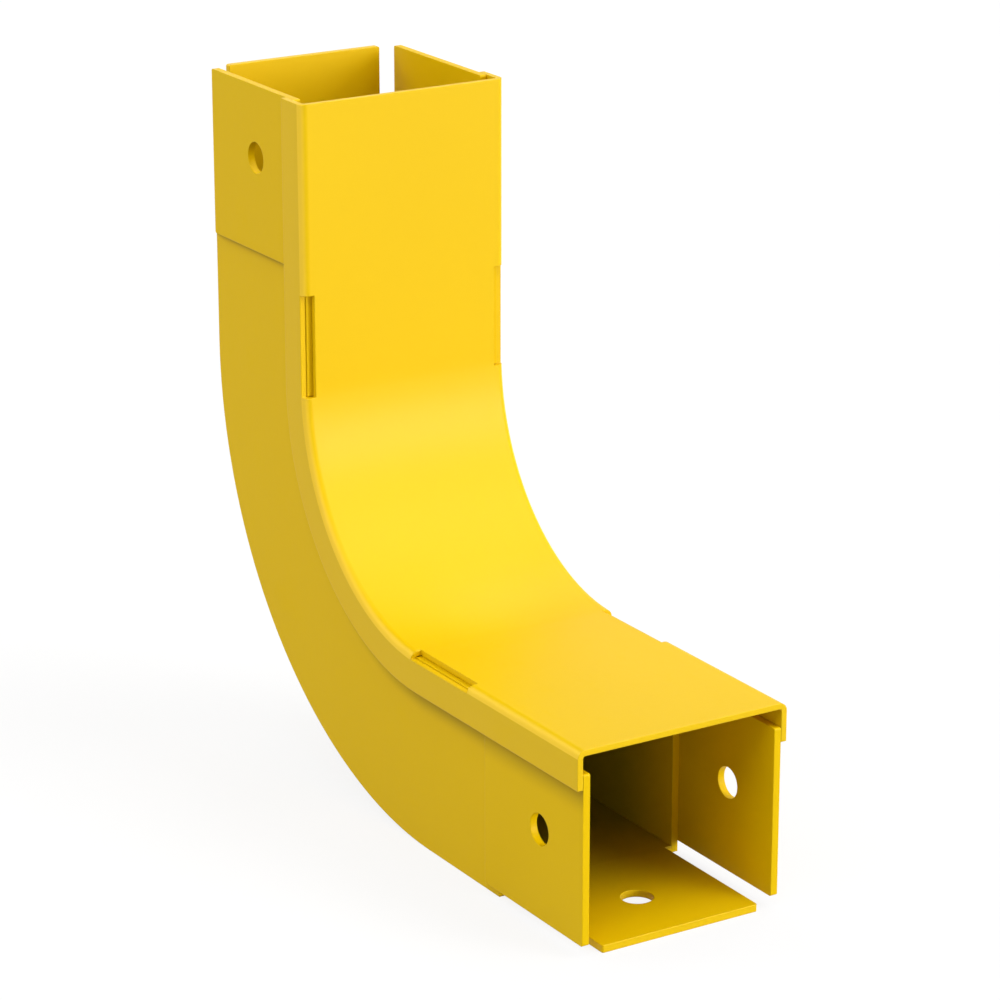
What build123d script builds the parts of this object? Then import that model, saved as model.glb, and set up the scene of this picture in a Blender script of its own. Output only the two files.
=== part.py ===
# Vertical 90 degree elbow of a covered cable raceway, made of coated sheet steel.
# Millimetres, +Z up. The lower arm runs along +X and the upper arm along +Z.
# The origin is the hole in the lower web flap, on the face that the raceway's floor lies on.
import os

from build123d import *

os.makedirs("parts", exist_ok=True)

# Channel
channel_width = 50.0  # outside width of the raceway that slides in between the side flaps
arm_length = 170.0  # from the contact plane at the heel to the mouth, on both arms
heel_radius = 100.0  # inner face of the rolled heel wall

# Body
sheet = 1.8  # side plates and heel wall, 1.6 steel with 0.1 of coat on both faces
plate_gap = 4.5  # from the plates' edge up to the cover's inner face
body_setback = 38.0  # from the mouth back to the ends of the plates and the heel wall

# Flaps round both mouths
flap_sheet = 1.8  # thickness of the flaps
flap_length = 41.5  # side flaps, from the mouth to the edge that laps over the plates
flap_gap = 4.5  # from the side flaps' edge up to the cover's inner face
flap_rise = 1.0  # from the contact plane to the side flaps' other edge
flap_corner = 0.5  # rounding of the flaps' corners
slot_width = 3.7  # between a side flap's inner face and the web flap
hole_diameter = 7.8  # roomy clearance for an M6 screw, one hole in each flap
hole_setback = 18.0  # from the mouth to the holes
hole_height = 23.0  # side flaps' holes above the contact plane

# Cover
cover_sheet = 1.4  # 1.2 steel with 0.1 of coat on both faces
cover_depth = 48.5  # from the contact plane to the cover's outer face
cover_clearance = 0.1  # between a side flap and the cover's flange
cover_fold = 0.6  # inside radius of the cover's folds
flange_height = 9.5  # from the cover's outer face to the flange's free edge
window_setback = 8.8  # from the plates' ends back to a window
window_overlap = 2.3  # how far a window starts before the end of the bend
window_inset = 3.0  # cut into the cover's face, in from the flange's outer face
window_drop = 1.8  # cut down the flange, from the cover's outer face

# Lugs folded outwards from the plates' edges, one under each window
lug_clearance = 0.1  # to the window's two ends, the flange and the cover's inner face

margin = 5.0  # how far a cutting shape stands out past the metal
root = 1.0  # how far a lug reaches down into its plate

# Faces and places that follow from the sizes
plate_outer = channel_width / 2
plate_inner = plate_outer - sheet
flap_inner = channel_width / 2
flap_outer = flap_inner + flap_sheet
flange_inner = flap_outer + cover_clearance
flange_outer = flange_inner + cover_sheet
cover_inside = cover_depth - cover_sheet
plate_depth = cover_inside - plate_gap
flap_depth = cover_inside - flap_gap
lug_depth = cover_inside - lug_clearance
lug_outer = flange_inner - lug_clearance
heel_x = hole_setback - arm_length
bend_x = heel_x + heel_radius
straight_length = arm_length - heel_radius
window_length = straight_length + window_overlap - body_setback - window_setback
window_centre = bend_x - window_overlap + window_length / 2

# Plane across the lower arm at the bend: x over the width, y towards the cover, z to the mouth
lower_section = Plane(origin=(bend_x, 0, 0), x_dir=(0, 1, 0), z_dir=(1, 0, 0))

# Mirror plane that swaps the two arms
bisector = Plane(origin=(heel_x, 0, 0), z_dir=(1, 0, -1))

# Where a rectangle stands from its place
on_bottom_edge = (Align.CENTER, Align.MIN)
on_top_edge = (Align.CENTER, Align.MAX)
on_right_edge = (Align.MAX, Align.CENTER)
on_right_corner = (Align.MAX, Align.MIN)


# Side view of a band of metal between two depths, which follows both arms and the bend
def elbow_band(plane, depth_from, depth_to):
    end_x = hole_setback - body_setback
    end_z = arm_length - body_setback
    bend_centre = (bend_x, heel_radius)
    with BuildSketch(plane) as band:
        with BuildLine():
            Line((end_x, depth_from), (bend_x, depth_from))
            CenterArc(bend_centre, heel_radius - depth_from, 270, -90)
            Line((heel_x + depth_from, heel_radius), (heel_x + depth_from, end_z))
            Line((heel_x + depth_from, end_z), (heel_x + depth_to, end_z))
            Line((heel_x + depth_to, end_z), (heel_x + depth_to, heel_radius))
            CenterArc(bend_centre, heel_radius - depth_to, 180, 90)
            Line((bend_x, depth_to), (end_x, depth_to))
            Line((end_x, depth_to), (end_x, depth_from))
        make_face()
    return band.sketch


# Lug that rises from the lower arm's edge of the left plate and is folded outwards under the window
def left_lug():
    lug_length = window_length - 2 * lug_clearance
    with BuildPart() as lug:
        with BuildSketch(Plane.XZ.offset(plate_inner)):
            with Locations((window_centre, lug_depth)):
                Rectangle(lug_length, lug_depth - plate_depth + root, align=on_top_edge)
        extrude(amount=sheet)
        with BuildSketch(Plane.XZ.offset(plate_inner)):
            with Locations((window_centre, lug_depth)):
                Rectangle(lug_length, sheet, align=on_top_edge)
        extrude(amount=lug_outer - plate_inner)
    return lug.part


# Cutting shape of the lower arm's two windows through the cover's folds
def window_pair():
    with BuildPart() as windows:
        with BuildSketch(lower_section.offset(-window_overlap)):
            with Locations((0, cover_depth - window_drop)):
                Rectangle(2 * (flange_outer + margin), margin, align=on_bottom_edge)
                Rectangle(2 * (flange_outer - window_inset), margin, align=on_bottom_edge, mode=Mode.SUBTRACT)
        extrude(amount=window_length)
    return windows.part


# Flat side plates, deep enough to cover the edges of the heel wall between them
with BuildPart() as left_side_plate:
    extrude(elbow_band(Plane.XZ.offset(plate_inner), -sheet, plate_depth), amount=sheet)
    add(left_lug())
    mirror(left_lug(), about=bisector)
with BuildPart() as right_side_plate:
    mirror(left_side_plate.part, about=Plane.XZ)

# Heel wall, rolled round the outside of the bend
with BuildPart() as heel_wall:
    extrude(elbow_band(Plane.XZ, -sheet, 0), amount=plate_inner, both=True)

# Cover on the inside of the bend, with a flange folded down on each side
with BuildPart() as cover:
    with BuildSketch(lower_section) as section:
        with BuildLine():
            inside = FilletPolyline(
                (-flange_inner, cover_depth - flange_height),
                (-flange_inner, cover_inside),
                (flange_inner, cover_inside),
                (flange_inner, cover_depth - flange_height),
                radius=cover_fold,
            )
            offset(inside, amount=cover_sheet, side=Side.LEFT)
        make_face()
    extrude(amount=straight_length)
    revolve(section.sketch, axis=Axis((bend_x, 0, heel_radius), (0, 1, 0)), revolution_arc=90)
    extrude(cover.faces().sort_by(Axis.Z)[-1], amount=straight_length)
    add(window_pair(), mode=Mode.SUBTRACT)
    mirror(window_pair(), about=bisector, mode=Mode.SUBTRACT)

# Side flaps, lapped over the plates
with BuildPart() as lower_left_flap:
    with BuildSketch(Plane.XZ.offset(flap_inner)) as outline:
        with Locations((hole_setback, flap_rise)):
            Rectangle(flap_length, flap_depth - flap_rise, align=on_right_corner)
        fillet(outline.vertices(), radius=flap_corner)
        with Locations((0, hole_height)):
            Circle(hole_diameter / 2, mode=Mode.SUBTRACT)
    extrude(amount=flap_sheet)
with BuildPart() as lower_right_flap:
    mirror(lower_left_flap.part, about=Plane.XZ)
with BuildPart() as upper_left_flap:
    mirror(lower_left_flap.part, about=bisector)
with BuildPart() as upper_right_flap:
    mirror(lower_right_flap.part, about=bisector)

# Web flaps, butted against the ends of the heel wall
with BuildPart() as lower_web_flap:
    with BuildSketch() as outline:
        with Locations((hole_setback, 0)):
            Rectangle(body_setback, 2 * (flap_inner - slot_width), align=on_right_edge)
        fillet(outline.vertices().group_by(Axis.X)[-1], radius=flap_corner)
        Circle(hole_diameter / 2, mode=Mode.SUBTRACT)
    extrude(amount=-flap_sheet)
with BuildPart() as upper_web_flap:
    mirror(lower_web_flap.part, about=bisector)

for name, built in (
    ("left_side_plate", left_side_plate),
    ("right_side_plate", right_side_plate),
    ("heel_wall", heel_wall),
    ("cover", cover),
    ("lower_left_flap", lower_left_flap),
    ("lower_right_flap", lower_right_flap),
    ("lower_web_flap", lower_web_flap),
    ("upper_left_flap", upper_left_flap),
    ("upper_right_flap", upper_right_flap),
    ("upper_web_flap", upper_web_flap),
):
    built.part.label = name
    export_step(built.part, f"parts/{name}.step")
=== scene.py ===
import math

import bpy
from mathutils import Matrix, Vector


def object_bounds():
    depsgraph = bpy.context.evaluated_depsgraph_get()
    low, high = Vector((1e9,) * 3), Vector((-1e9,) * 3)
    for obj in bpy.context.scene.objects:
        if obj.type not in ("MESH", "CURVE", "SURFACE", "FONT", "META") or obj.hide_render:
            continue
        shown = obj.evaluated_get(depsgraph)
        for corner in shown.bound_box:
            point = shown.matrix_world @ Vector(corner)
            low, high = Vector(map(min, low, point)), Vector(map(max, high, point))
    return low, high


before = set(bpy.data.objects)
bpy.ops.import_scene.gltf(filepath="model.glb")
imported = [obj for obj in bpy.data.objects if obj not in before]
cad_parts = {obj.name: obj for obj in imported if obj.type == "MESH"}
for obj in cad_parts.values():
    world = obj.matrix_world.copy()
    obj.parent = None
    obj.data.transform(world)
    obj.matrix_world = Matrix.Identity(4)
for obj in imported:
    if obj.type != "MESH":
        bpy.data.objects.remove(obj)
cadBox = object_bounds()
print("frame loaded:", ", ".join(sorted(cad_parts)))

# Vertical elbow of a covered cable raceway, folded from sheet steel and powder coated in traffic yellow.
# Metres, in the frame of the CAD: +Z up, the lower mouth looks along +X and the upper one along +Z.

scene = bpy.context.scene
scene.view_settings.view_transform = "Standard"
mm = 0.001


# sRGB hex to linear, by the sRGB standard's own curve
def linearColour(hexColour):
    channels = [int(hexColour[i:i + 2], 16) / 255 for i in (1, 3, 5)]
    return [c / 12.92 if c <= 0.04045 else ((c + 0.055) / 1.055) ** 2.4 for c in channels] + [1.0]


# Adds one node. Settings are its own properties, and inputs are values or the sockets that feed it.
def addNode(tree, kind, settings=None, inputs=None):
    node = tree.nodes.new(kind)
    for key, value in (settings or {}).items():
        setattr(node, key, value)
    for key, value in (inputs or {}).items():
        if isinstance(value, bpy.types.NodeSocket):
            tree.links.new(value, node.inputs[key])
        else:
            node.inputs[key].default_value = value
    return node


# The sockets of a Mix node share their names, so they are reached by number
colourA, colourB, mixedColour = 6, 7, 2
numberA, numberB, mixedNumber = 2, 3, 0


def newMaterial(name):
    material = bpy.data.materials.new(name)
    material.use_nodes = True
    material.node_tree.nodes.clear()
    return material, material.node_tree


# Sizes of the elbow's own form, which the coat follows. Depths are from the heel wall's inner face.
elbow = {
    "sheet": 1.8 * mm,
    "halfWidth": 25 * mm,  # from the channel's middle to the plates' outer faces
    "heelRadius": 100 * mm,  # the heel wall's inner face
    "coverInside": 47.1 * mm,
    "flangeEdge": 39 * mm,  # free edge of the cover's flange
    "flapLength": 41.5 * mm,  # from a mouth back to the side flaps' edge
    "faceSlack": 0.1 * mm,  # room round a face, so that all of its points count as on it
}
lowCorner, highCorner = cadBox
elbow["bendCentre"] = (
    lowCorner[0] + elbow["sheet"] + elbow["heelRadius"], 0,
    lowCorner[2] + elbow["sheet"] + elbow["heelRadius"],
)
elbow["mouths"] = (highCorner[0], 0, highCorner[2])  # the lower one's end along X and the upper one's along Z

# Polyester powder coat on sheet steel, sprayed and baked.
# The eye sees an even, saturated yellow with a satin gloss. The coat flows a little as it bakes, which leaves
# a fine orange peel, and it draws back from the cut edges, which are rounder and catch the light, and whose
# colour is a little lighter, partly as a painted highlight. The depth of the channel is darkened with painted
# shade, painted shadow draws dark lines under the edges that look down, and a painted highlight runs pale
# along the cover's folds.
coatLook = {
    "colour": "#E1BA00",
    "thickColour": "#DDB500",  # where more powder settled
    "driftSize": 70 * mm,  # slow change of the coat's thickness over a sheet
    "ior": 1.5,
    "roughness": 0.42,
    "roughnessSpread": 0.04,
    "peelSize": 2.2 * mm,  # one wave of the orange peel
    "peelDepth": 0.018 * mm,
    "grainSize": 0.35 * mm,  # powder grains that flowed out, drawn as coarse as they need to show
    "grainDepth": 0.0015 * mm,
    "grainRange": (0.3, 0.7),  # of the noise, from smooth to rough
    "edgeColour": "#E8C20C",  # lighter over the rounded cut edges: thinner coat, and partly a painted highlight
    "edgeRoughness": 0.36,
    "edgeRound": 0.3 * mm,
    "edgeTurn": (0.995, 0.8),  # cosines of the edge's turn, from none of its look to all of it
    "foldHighlightColour": "#FCD23A",  # painted highlight, pale on the outside of the cover's folds
    "foldHighlightRange": (0.35, 0.8),  # how far a face looks sideways, from none of the painted highlight to all of it
    "foldHighlightEnd": 0.995,  # past this it is the flat flange, with no painted highlight
    # painted shade deep in the channel, darker and duller than the coat
    "deepShadeColour": "#978B10",
    "deepShadeFrom": 18 * mm,  # behind the mouth
    "deepShadeTo": 60 * mm,
    # painted shadow under the edges that look down
    "shadowColour": "#3C2A00",
    "flangeShadow": 7 * mm,  # reach of the painted shadow under the cover's flange
    "hangRange": (0.6, 0.95),  # how far the flange's edge looks down, from no painted shadow to all of it
    "flapShadow": 2.2 * mm,  # reach of the painted shadow under the upper flaps' edge
    "flapShadowShare": 0.7,
    "scuffSize": 14 * mm,  # faint rubbing from stacking and packing
    "scuffRange": (0.55, 0.75),  # of the noise, from no scuff to a full one
    "scuffShare": 0.05,
}


# Where a point lies in the elbow, as sockets: its depth, how far it is behind the nearer mouth and from the
# channel's middle, how far it is behind each mouth, and the way from it into the elbow's corner
def placeIn(tree, point, shape):
    toBend = addNode(tree, "ShaderNodeVectorMath", {"operation": "SUBTRACT"},
                     {0: shape["bendCentre"], 1: point})
    upright = addNode(tree, "ShaderNodeVectorMath", {"operation": "MULTIPLY"},
                      {0: toBend.outputs["Vector"], 1: (1, 0, 1)})
    # In an arm one part of the way is negative, and with that at 0 the way goes straight across the arm
    inBend = addNode(tree, "ShaderNodeVectorMath", {"operation": "MAXIMUM"},
                     {0: upright.outputs["Vector"], 1: (0, 0, 0)})
    radius = addNode(tree, "ShaderNodeVectorMath", {"operation": "LENGTH"}, {0: inBend.outputs["Vector"]})
    depth = addNode(tree, "ShaderNodeMath", {"operation": "SUBTRACT"},
                    {0: shape["heelRadius"], 1: radius.outputs["Value"]})
    inward = addNode(tree, "ShaderNodeVectorMath", {"operation": "NORMALIZE"}, {0: inBend.outputs["Vector"]})

    toMouths = addNode(tree, "ShaderNodeVectorMath", {"operation": "SUBTRACT"},
                       {0: shape["mouths"], 1: point})
    behind = addNode(tree, "ShaderNodeSeparateXYZ", inputs={"Vector": toMouths.outputs["Vector"]})
    fromMouth = addNode(tree, "ShaderNodeMath", {"operation": "MINIMUM"},
                        {0: behind.outputs["X"], 1: behind.outputs["Z"]})
    across = addNode(tree, "ShaderNodeMath", {"operation": "ABSOLUTE"}, {0: behind.outputs["Y"]})
    return {
        "depth": depth.outputs["Value"],
        "fromMouth": fromMouth.outputs["Value"],
        "across": across.outputs["Value"],
        "behindLower": behind.outputs["X"],
        "behindUpper": behind.outputs["Z"],
        "inward": inward.outputs["Vector"],
    }


# Painted highlight on the outside of a fold, where the face turns from the side to the top
def foldHighlight(tree, normal, look, sheet):
    facing = addNode(tree, "ShaderNodeSeparateXYZ", inputs={"Vector": normal})
    sideways = addNode(tree, "ShaderNodeMath", {"operation": "ABSOLUTE"}, {0: facing.outputs["Y"]})
    notFlat = addNode(tree, "ShaderNodeMath", {"operation": "LESS_THAN"},
                      {0: sideways.outputs["Value"], 1: look["foldHighlightEnd"]})
    onFold = addNode(tree, "ShaderNodeMath", {"operation": "MULTIPLY"},
                     {0: notFlat.outputs["Value"], 1: sheet["foldHighlightShare"]})
    least, most = look["foldHighlightRange"]
    wornOrHighlit = addNode(tree, "ShaderNodeMapRange", {"interpolation_type": "SMOOTHSTEP"},
                   {"Value": sideways.outputs["Value"], "From Min": least, "From Max": most,
                    "To Min": 0, "To Max": onFold.outputs["Value"]})
    return wornOrHighlit.outputs["Result"]


# Painted shade on the faces that look into the channel, darker the farther they lie behind the mouth
def deepShade(tree, place, look, shape, sheet):
    between = addNode(tree, "ShaderNodeMath", {"operation": "LESS_THAN"},
                      {0: place["across"], 1: sheet["insideWithin"]})
    middle = shape["coverInside"] / 2
    covered = addNode(tree, "ShaderNodeMath", {"operation": "COMPARE"},
                      {0: place["depth"], 1: middle, 2: middle + shape["sheet"] / 3})
    inside = addNode(tree, "ShaderNodeMath", {"operation": "MULTIPLY"},
                     {0: between.outputs["Value"], 1: covered.outputs["Value"]})
    deepShadeAmount = addNode(tree, "ShaderNodeMapRange", {"interpolation_type": "LINEAR"},
                   {"Value": place["fromMouth"], "From Min": look["deepShadeFrom"], "From Max": look["deepShadeTo"],
                    "To Min": 0, "To Max": inside.outputs["Value"]})
    return deepShadeAmount.outputs["Result"]


# Painted shadow on a side sheet's outer face, under the cover's flange where that looks down, and under the
# upper flap
def edgeShadow(tree, place, look, shape, sheet):
    outer = addNode(tree, "ShaderNodeMath", {"operation": "COMPARE"},
                    {0: place["across"], 1: sheet["outerFace"], 2: shape["faceSlack"] / 2})

    down = addNode(tree, "ShaderNodeSeparateXYZ", inputs={"Vector": place["inward"]})
    least, most = look["hangRange"]
    hanging = addNode(tree, "ShaderNodeMapRange", {"interpolation_type": "SMOOTHSTEP"},
                      {"Value": down.outputs["Z"], "From Min": least, "From Max": most,
                       "To Min": 0, "To Max": outer.outputs["Value"]})
    underFlange = addNode(tree, "ShaderNodeMapRange", {"interpolation_type": "SMOOTHSTEP"},
                          {"Value": place["depth"], "From Min": shape["flangeEdge"] - look["flangeShadow"],
                           "From Max": shape["flangeEdge"], "To Min": 0, "To Max": hanging.outputs["Result"]})
    flangeShadow = addNode(tree, "ShaderNodeMath", {"operation": "MULTIPLY"},
                         {0: underFlange.outputs["Result"], 1: sheet["flangeShadowShare"]})

    upperArm = addNode(tree, "ShaderNodeMath", {"operation": "LESS_THAN"},
                       {0: place["behindUpper"], 1: place["behindLower"]})
    onUpper = addNode(tree, "ShaderNodeMath", {"operation": "MULTIPLY"},
                      {0: upperArm.outputs["Value"], 1: outer.outputs["Value"]})
    underFlap = addNode(tree, "ShaderNodeMapRange", {"interpolation_type": "SMOOTHSTEP"},
                        {"Value": place["fromMouth"], "From Min": sheet["flapEdge"] + look["flapShadow"],
                         "From Max": sheet["flapEdge"], "To Min": 0, "To Max": onUpper.outputs["Value"]})
    flapShadow = addNode(tree, "ShaderNodeMath", {"operation": "MULTIPLY"},
                       {0: underFlap.outputs["Result"], 1: look["flapShadowShare"]})

    paintedShadow = addNode(tree, "ShaderNodeMath", {"operation": "MAXIMUM"},
                   {0: flangeShadow.outputs["Value"], 1: flapShadow.outputs["Value"]})
    return paintedShadow.outputs["Value"]


# Even yellow that drifts a little, under the cut edges' tint, the folds' painted highlight, the channel's
# painted shade and the painted shadow under edges, in this order
def coatColour(tree, point, at, edge, normal, look, shape, sheet):
    place = placeIn(tree, point, shape)
    drift = addNode(tree, "ShaderNodeTexNoise",
                    inputs={"Vector": at, "Scale": 1 / look["driftSize"], "Detail": 3})
    layers = (
        (drift.outputs["Fac"], "thickColour"),
        (edge, "edgeColour"),
        (foldHighlight(tree, normal, look, sheet), "foldHighlightColour"),
        (deepShade(tree, place, look, shape, sheet), "deepShadeColour"),
        (edgeShadow(tree, place, look, shape, sheet), "shadowColour"),
    )
    colour = linearColour(look["colour"])
    for share, over in layers:
        mix = addNode(tree, "ShaderNodeMix", {"data_type": "RGBA"},
                      {"Factor": share, colourA: colour, colourB: linearColour(look[over])})
        colour = mix.outputs[mixedColour]
    return colour


# Satin gloss, rougher over the grain and where it is scuffed along the arm, and smoother on the cut edges
def coatRoughness(tree, at, edge, grain, look, sheet):
    stretched = addNode(tree, "ShaderNodeMapping", inputs={"Vector": at, "Scale": sheet["alongArm"]})
    scuff = addNode(tree, "ShaderNodeTexNoise",
                    inputs={"Vector": stretched.outputs["Vector"], "Scale": 1 / look["scuffSize"],
                            "Detail": 6, "Roughness": 0.65})
    least, most = look["scuffRange"]
    scuffed = addNode(tree, "ShaderNodeMapRange", {"interpolation_type": "SMOOTHSTEP"},
                      {"Value": scuff.outputs["Fac"], "From Min": least, "From Max": most,
                       "To Min": 0, "To Max": look["scuffShare"]})
    smooth, rough = look["grainRange"]
    grained = addNode(tree, "ShaderNodeMapRange",
                      inputs={"Value": grain, "From Min": smooth, "From Max": rough,
                              "To Min": look["roughness"] - look["roughnessSpread"] / 2,
                              "To Max": look["roughness"] + look["roughnessSpread"] / 2})
    wornOrHighlit = addNode(tree, "ShaderNodeMath", {"operation": "ADD"},
                   {0: grained.outputs["Result"], 1: scuffed.outputs["Result"]})
    roughness = addNode(tree, "ShaderNodeMix", {"data_type": "FLOAT"},
                        {"Factor": edge, numberA: wornOrHighlit.outputs["Value"], numberB: look["edgeRoughness"]})
    return roughness.outputs[mixedNumber]


def powderCoat(name, look, shape, sheet):
    material, tree = newMaterial(name)
    point = addNode(tree, "ShaderNodeTexCoord").outputs["Object"]
    own = addNode(tree, "ShaderNodeMapping", inputs={"Vector": point, "Location": sheet["offset"]})
    at = own.outputs["Vector"]

    # A cut edge is where the rounded normal turns away from the face's own
    rounded = addNode(tree, "ShaderNodeBevel", {"samples": 8}, {"Radius": look["edgeRound"]})
    flat = addNode(tree, "ShaderNodeNewGeometry")
    turned = addNode(tree, "ShaderNodeVectorMath", {"operation": "DOT_PRODUCT"},
                     {0: rounded.outputs["Normal"], 1: flat.outputs["Normal"]})
    least, most = look["edgeTurn"]
    edge = addNode(tree, "ShaderNodeMapRange", {"interpolation_type": "SMOOTHSTEP"},
                   {"Value": turned.outputs["Value"], "From Min": least, "From Max": most,
                    "To Min": 0, "To Max": 1}).outputs["Result"]

    colour = coatColour(tree, point, at, edge, flat.outputs["Normal"], look, shape, sheet)
    grain = addNode(tree, "ShaderNodeTexNoise",
                    inputs={"Vector": at, "Scale": 1 / look["grainSize"], "Detail": 2}).outputs["Fac"]
    peel = addNode(tree, "ShaderNodeTexNoise",
                   inputs={"Vector": at, "Scale": 1 / look["peelSize"], "Detail": 1.5}).outputs["Fac"]
    grainBump = addNode(tree, "ShaderNodeBump",
                        inputs={"Height": grain, "Distance": look["grainDepth"], "Strength": 1.0,
                                "Normal": rounded.outputs["Normal"]})
    peelBump = addNode(tree, "ShaderNodeBump",
                       inputs={"Height": peel, "Distance": look["peelDepth"], "Strength": 1.0,
                               "Normal": grainBump.outputs["Normal"]})
    coated = addNode(tree, "ShaderNodeBsdfPrincipled",
                     inputs={"Base Color": colour,
                             "Roughness": coatRoughness(tree, at, edge, grain, look, sheet),
                             "IOR": look["ior"],
                             "Specular IOR Level": sheet["reflection"],
                             "Normal": peelBump.outputs["Normal"]})
    addNode(tree, "ShaderNodeOutputMaterial", inputs={"Surface": coated.outputs["BSDF"]})
    return material


# How the coat differs by the kind of sheet. reflection is matched to the photograph, and is lower on the side
# sheets. Painted shadow lies on the face at outerFace, and painted shade darkens the faces within
# insideWithin, both measured from the channel's middle. The gap under the flange is wider beside the plates
# than beside the flaps, so the painted shadow there is darker.
nowhere = -1  # stands for a face or an edge that the sheet doesn't have
noShadow = {"outerFace": nowhere, "flangeShadowShare": 0, "flapEdge": nowhere}
sheetKinds = {
    "sidePlate": {
        "reflection": 0.08,
        "foldHighlightShare": 0,
        "outerFace": elbow["halfWidth"],
        "flangeShadowShare": 0.55,
        "flapEdge": elbow["flapLength"],
        "insideWithin": elbow["halfWidth"] - elbow["sheet"] + elbow["faceSlack"],
    },
    "sideFlap": {
        "reflection": 0.08,
        "foldHighlightShare": 0,
        "outerFace": elbow["halfWidth"] + elbow["sheet"],
        "flangeShadowShare": 0.4,
        "flapEdge": nowhere,
        "insideWithin": elbow["halfWidth"] + elbow["faceSlack"],
    },
    "webFlap": {
        "reflection": 0.16,
        "foldHighlightShare": 0,
        "insideWithin": elbow["halfWidth"] + elbow["faceSlack"],
        **noShadow,
    },
    "heelWall": {
        "reflection": 0.16,
        "foldHighlightShare": 0,
        "insideWithin": elbow["halfWidth"] - elbow["sheet"] + elbow["faceSlack"],
        **noShadow,
    },
    "cover": {
        "reflection": 0.16,
        "foldHighlightShare": 0.75,
        "insideWithin": 25.2 * mm,  # short of the windows, whose walls get none of the painted shade
        **noShadow,
    },
}

# Each sheet has its own place in the pattern, and its scuffs run along its arm
sheets = {
    "left_side_plate": {"kind": "sidePlate", "offset": (0.31, 0.12, 0.05), "alongArm": (1, 1, 1)},
    "right_side_plate": {"kind": "sidePlate", "offset": (0.73, 0.41, 0.22), "alongArm": (1, 1, 1)},
    "heel_wall": {"kind": "heelWall", "offset": (0.18, 0.66, 0.93), "alongArm": (1, 2.5, 1)},
    "cover": {"kind": "cover", "offset": (0.52, 0.27, 0.64), "alongArm": (1, 2.5, 1)},
    "lower_left_flap": {"kind": "sideFlap", "offset": (0.95, 0.83, 0.37), "alongArm": (0.5, 1.6, 1.6)},
    "lower_right_flap": {"kind": "sideFlap", "offset": (0.27, 0.05, 0.84), "alongArm": (0.5, 1.6, 1.6)},
    "lower_web_flap": {"kind": "webFlap", "offset": (0.61, 0.34, 0.12), "alongArm": (0.5, 1.6, 1.6)},
    "upper_left_flap": {"kind": "sideFlap", "offset": (0.44, 0.58, 0.71), "alongArm": (1.6, 1.6, 0.5)},
    "upper_right_flap": {"kind": "sideFlap", "offset": (0.08, 0.91, 0.46), "alongArm": (1.6, 1.6, 0.5)},
    "upper_web_flap": {"kind": "webFlap", "offset": (0.87, 0.19, 0.59), "alongArm": (1.6, 1.6, 0.5)},
}
for nodeName, sheet in sheets.items():
    materialName = "powderCoatOn" + nodeName.title().replace("_", "")
    coat = powderCoat(materialName, coatLook, elbow, {**sheetKinds[sheet["kind"]], **sheet})
    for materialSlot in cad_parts[nodeName].material_slots:
        materialSlot.material = coat
print("powder coat on", len(sheets), "sheets")

# White studio: a white paper floor that keeps a light shadow, under a white sky.
# The paper sends little light back up, so the elbow's undersides and inside stay dark as in the photograph.
studio = {
    "floorHeight": lowCorner[2],  # the heel wall's and side plates' lowest faces
    "floorHalf": 4.0,
    "floorColour": "#A0A0A0",  # the paper as it sends light back up
    "floorWhite": 0.6,  # share of the paper that the camera sees as plain white
    "floorGlow": 1.4,  # strength of that white
    "skyStrength": 0.05,  # of the light that the sky sends to the elbow
    "skyWhite": 1.0,  # of what the camera sees of it
}

bpy.ops.object.select_all(action="DESELECT")
bpy.ops.mesh.primitive_plane_add(size=2 * studio["floorHalf"], location=(0, 0, studio["floorHeight"]))
floor = bpy.context.active_object
floor.name = "floor"


# 1 for what the camera sees, directly, mirrored or through something clear, and 0 for the light on the elbow
def seenByCamera(tree):
    rays = addNode(tree, "ShaderNodeLightPath")
    straight = addNode(tree, "ShaderNodeMath", {"operation": "MAXIMUM"},
                       {0: rays.outputs["Is Camera Ray"], 1: rays.outputs["Is Glossy Ray"]})
    seen = addNode(tree, "ShaderNodeMath", {"operation": "MAXIMUM"},
                   {0: straight.outputs["Value"], 1: rays.outputs["Is Transmission Ray"]})
    return seen.outputs["Value"]


# Matte white paper: an even white with no gloss, which a shadow shows on
floorPaper, floorTree = newMaterial("matteWhitePaper")
whiteShare = addNode(floorTree, "ShaderNodeMath", {"operation": "MULTIPLY"},
                     {0: seenByCamera(floorTree), 1: studio["floorWhite"]})
paper = addNode(floorTree, "ShaderNodeBsdfDiffuse", inputs={"Color": linearColour(studio["floorColour"])})
glow = addNode(floorTree, "ShaderNodeEmission", inputs={"Strength": studio["floorGlow"]})
both = addNode(floorTree, "ShaderNodeMixShader",
               inputs={0: whiteShare.outputs["Value"], 1: paper.outputs["BSDF"], 2: glow.outputs["Emission"]})
addNode(floorTree, "ShaderNodeOutputMaterial", inputs={"Surface": both.outputs["Shader"]})
floor.data.materials.append(floorPaper)

sky = bpy.data.worlds.new("whiteSky")
scene.world = sky
sky.use_nodes = True
skyTree = sky.node_tree
skyTree.nodes.clear()
strength = addNode(skyTree, "ShaderNodeMix", {"data_type": "FLOAT"},
                   {"Factor": seenByCamera(skyTree),
                    numberA: studio["skyStrength"], numberB: studio["skyWhite"]})
background = addNode(skyTree, "ShaderNodeBackground", inputs={"Strength": strength.outputs[mixedNumber]})
addNode(skyTree, "ShaderNodeOutputWorld", inputs={"Surface": background.outputs["Background"]})
print("white floor and sky in place")

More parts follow.
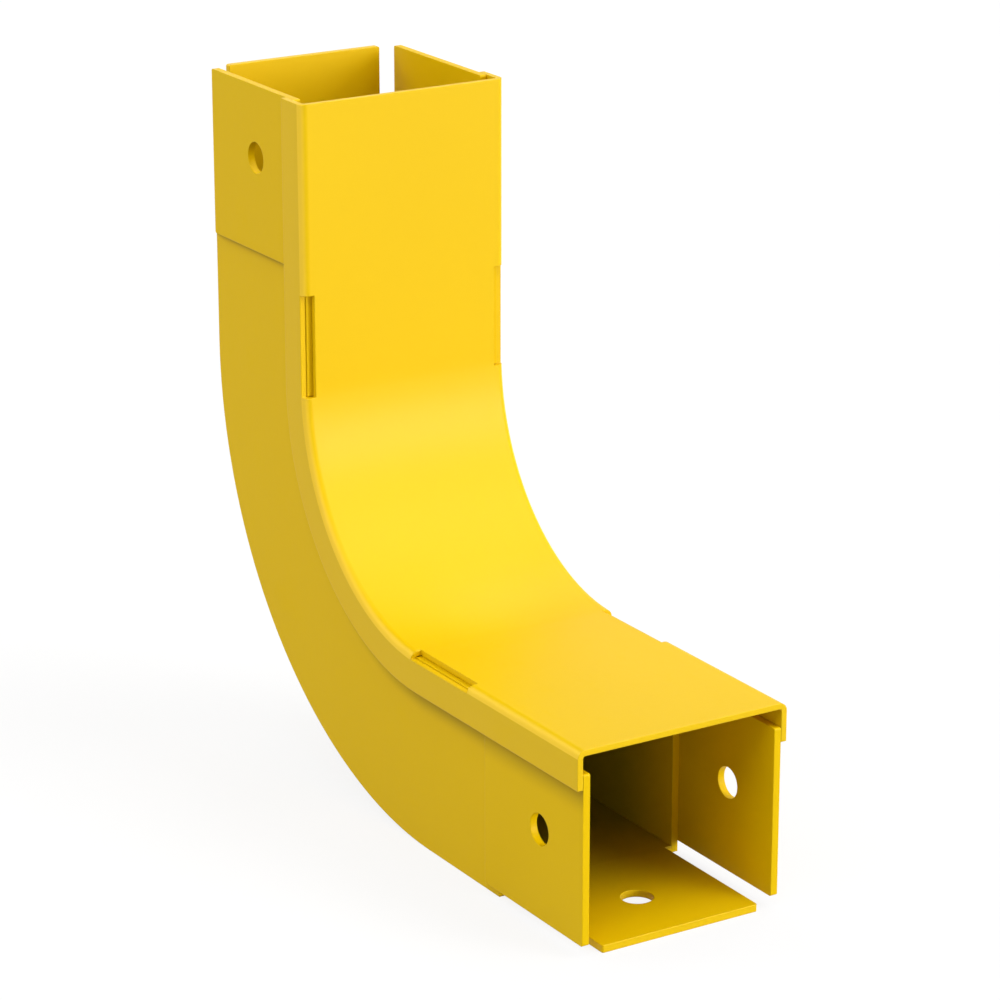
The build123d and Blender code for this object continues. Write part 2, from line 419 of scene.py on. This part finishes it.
# Softboxes all round the elbow: strength, width of the disc in degrees, and where the light comes from
softboxes = {
    "keyTop": {"strength": 0.5, "angle": 35, "comesFrom": (0.35, 0, 0.94)},
    "keyRight": {"strength": 0.95, "angle": 35, "comesFrom": (0.32, 0.5, 0.8)},
    "keyLeft": {"strength": 0.75, "angle": 35, "comesFrom": (0.32, -0.5, 0.8)},
    "frontHigh": {"strength": 0.8, "angle": 35, "comesFrom": (0.68, 0.5, 0.54)},
    "frontRight": {"strength": 2.75, "angle": 30, "comesFrom": (0.82, 0.52, 0.08)},
    "frontLeft": {"strength": 0.25, "angle": 35, "comesFrom": (0.75, -0.6, 0.2)},
    "sideLeft": {"strength": 1.1, "angle": 35, "comesFrom": (0, -1, 0.12)},
    "backLeft": {"strength": 0.8, "angle": 35, "comesFrom": (-0.5, -0.6, 0.6)},
    "backHigh": {"strength": 0.65, "angle": 35, "comesFrom": (-0.3, 0.5, 0.8)},
    "back": {"strength": 1.0, "angle": 35, "comesFrom": (-0.9, 0.1, 0.25)},
}


# A sun with a wide disc is a big round softbox a long way off
def addSoftbox(name, look):
    lamp = bpy.data.lights.new(name, "SUN")
    lamp.energy = look["strength"]
    lamp.angle = math.radians(look["angle"])
    softbox = bpy.data.objects.new(name, lamp)
    scene.collection.objects.link(softbox)
    x, y, z = look["comesFrom"]
    softbox.rotation_euler = (math.atan2(math.hypot(x, y), z), 0, math.atan2(y, x) + math.pi / 2)


for boxName, look in softboxes.items():
    addSoftbox(boxName, look)
print("studio lit by", len(softboxes), "softboxes")

# Photographer's place: in front of the lower mouth, to the left of it and a little above the object
shot = {
    "place": (674.2 * mm, -455.6 * mm, 370.4 * mm),
    "turn": 31.82,  # degrees, from the lower mouth's axis round to the left side
    "down": 18.6,  # degrees below the horizon
    "lens": 138.41,  # millimetres, as is the width of the film
    "film": 36,
}
cameraData = bpy.data.cameras.new("studioCamera")
cameraData.sensor_width = shot["film"]
cameraData.lens = shot["lens"]
camera = bpy.data.objects.new("studioCamera", cameraData)
scene.collection.objects.link(camera)
camera.location = shot["place"]
camera.rotation_euler = (math.radians(90 - shot["down"]), 0, math.radians(90 - shot["turn"]))
scene.camera = camera
print("camera in place")
